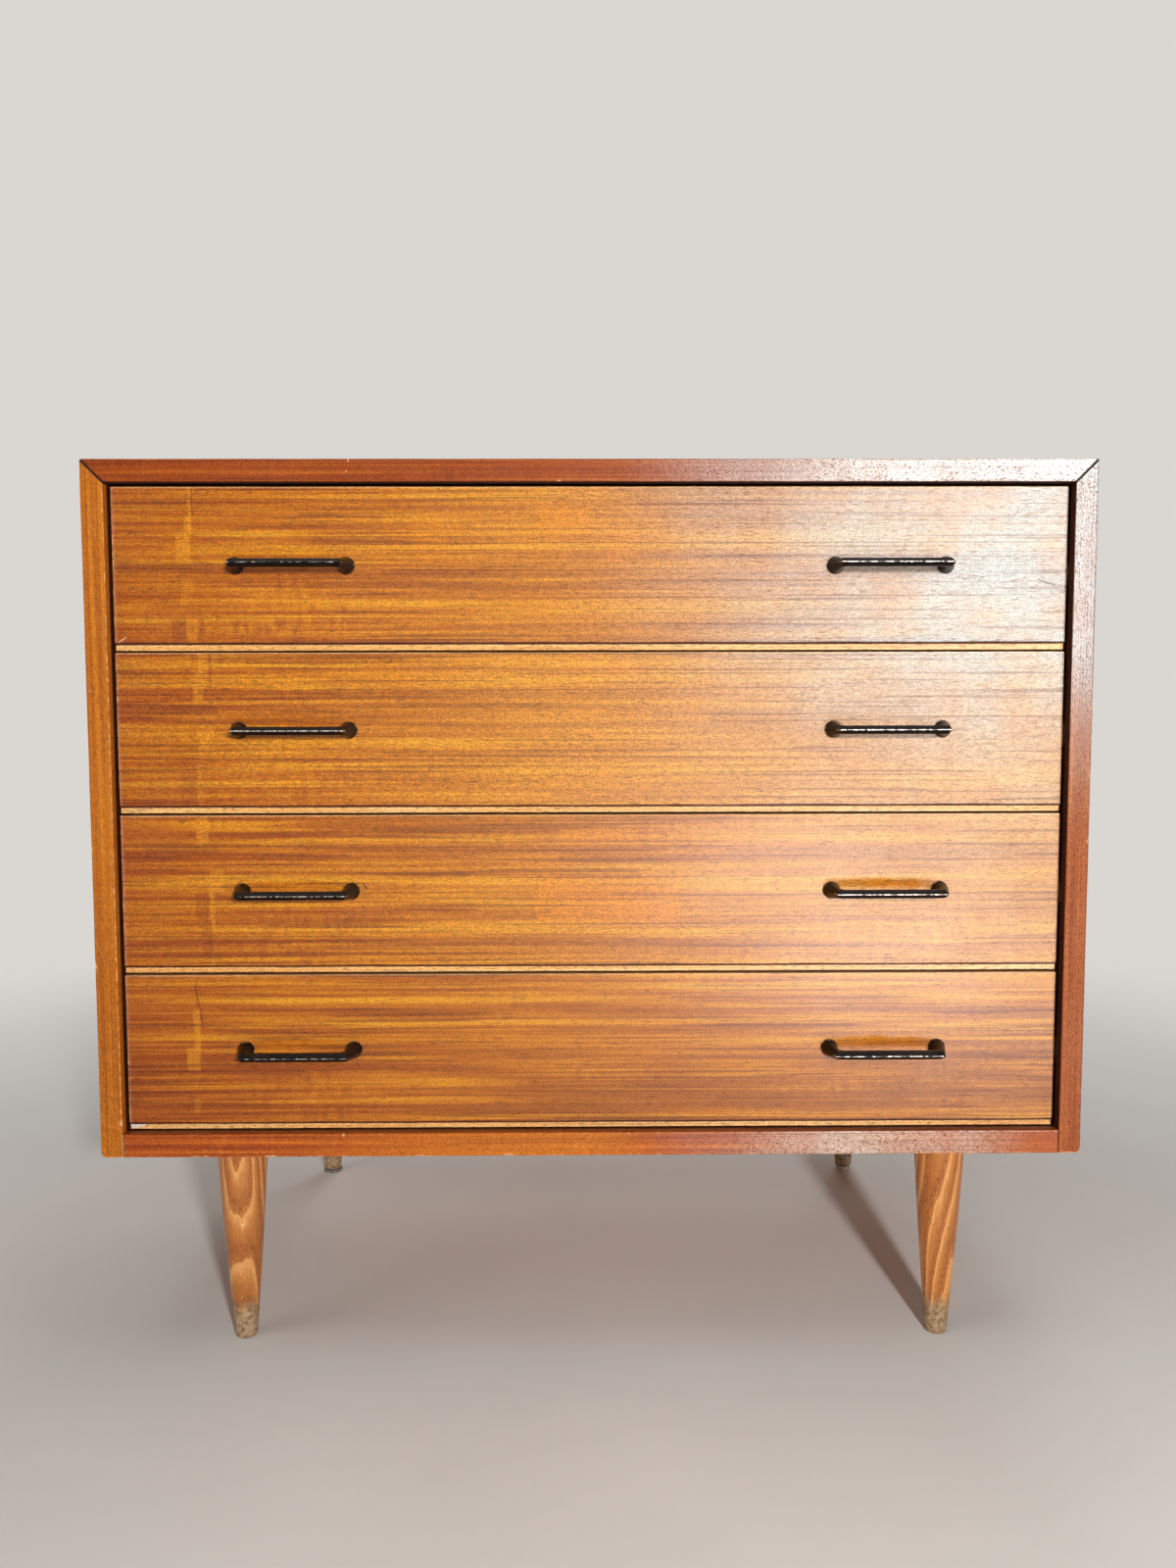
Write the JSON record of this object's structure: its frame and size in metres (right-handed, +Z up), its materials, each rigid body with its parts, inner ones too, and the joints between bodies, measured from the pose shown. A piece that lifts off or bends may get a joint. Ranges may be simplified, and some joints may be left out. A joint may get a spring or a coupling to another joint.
{
  "type": "chest of drawers",
  "caption": "Low veneered wooden chest of drawers on turned tapered legs, with solid front lippings, side-hung drawers and dark metal bow handles.",
  "frame": {"origin": "on the floor, below the middle of the whole chest with its handles", "axes": "+X to the right of someone who faces the drawers, -Y out of the front, +Z up"},
  "size_m": [0.8, 0.458, 0.735],
  "materials": {
    "veneer": "straight-grained orange-brown veneer, satin varnish",
    "lipping": "solid orange-brown hardwood, satin varnish",
    "front_board": "pale board, thin varnish",
    "box_wood": "planed pale softwood, waxed",
    "plywood": "plain rotary-cut plywood",
    "leg_wood": "turned hardwood, satin varnish, bleached feet",
    "handle_lacquer": "dark brown lacquer, worn bright along the ridge",
    "steel": "plain zinc-coated steel",
    "felt": "grey felt",
    "pale_pad": "worn off-white plastic"
  },
  "bodies": {
    "case": {"top_panel": "veneer", "side_panel_left": "veneer", "side_panel_right": "veneer", "bottom_panel": "veneer", "top_lipping": "lipping", "left_lipping": "lipping", "right_lipping": "lipping", "bottom_rail": "lipping", "back_panel": "plywood", "leg_front_left": "leg_wood", "leg_front_right": "leg_wood", "leg_back_left": "leg_wood", "leg_back_right": "leg_wood", "leg_plate_front_left": "steel", "leg_plate_front_right": "steel", "leg_plate_back_left": "steel", "leg_plate_back_right": "steel", "pad_back_left": "felt", "pad_back_right": "pale_pad", "runner_1_left": "box_wood", "runner_1_right": "box_wood", "runner_2_left": "box_wood", "runner_2_right": "box_wood", "runner_3_left": "box_wood", "runner_3_right": "box_wood", "runner_4_left": "box_wood", "runner_4_right": "box_wood"},
    "drawer_1": {"drawer_1_face": "veneer", "drawer_1_front": "front_board", "drawer_1_side_left": "box_wood", "drawer_1_side_right": "box_wood", "drawer_1_back": "box_wood", "drawer_1_bottom": "plywood", "handle_1_left": "handle_lacquer", "handle_1_right": "handle_lacquer"},
    "drawer_2": {"drawer_2_face": "veneer", "drawer_2_front": "front_board", "drawer_2_side_left": "box_wood", "drawer_2_side_right": "box_wood", "drawer_2_back": "box_wood", "drawer_2_bottom": "plywood", "handle_2_left": "handle_lacquer", "handle_2_right": "handle_lacquer"},
    "drawer_3": {"drawer_3_face": "veneer", "drawer_3_front": "front_board", "drawer_3_side_left": "box_wood", "drawer_3_side_right": "box_wood", "drawer_3_back": "box_wood", "drawer_3_bottom": "plywood", "handle_3_left": "handle_lacquer", "handle_3_right": "handle_lacquer"},
    "drawer_4": {"drawer_4_face": "veneer", "drawer_4_front": "front_board", "drawer_4_side_left": "box_wood", "drawer_4_side_right": "box_wood", "drawer_4_back": "box_wood", "drawer_4_bottom": "plywood", "handle_4_left": "handle_lacquer", "handle_4_right": "handle_lacquer"}
  },
  "joints": [
    {"name": "drawer_1_slide", "type": "slide", "parent": "case", "child": "drawer_1", "axis": [0, -1, 0], "range_m": [0, 0.3]},
    {"name": "drawer_2_slide", "type": "slide", "parent": "case", "child": "drawer_2", "axis": [0, -1, 0], "range_m": [0, 0.3]},
    {"name": "drawer_3_slide", "type": "slide", "parent": "case", "child": "drawer_3", "axis": [0, -1, 0], "range_m": [0, 0.3]},
    {"name": "drawer_4_slide", "type": "slide", "parent": "case", "child": "drawer_4", "axis": [0, -1, 0], "range_m": [0, 0.3]}
  ]
}
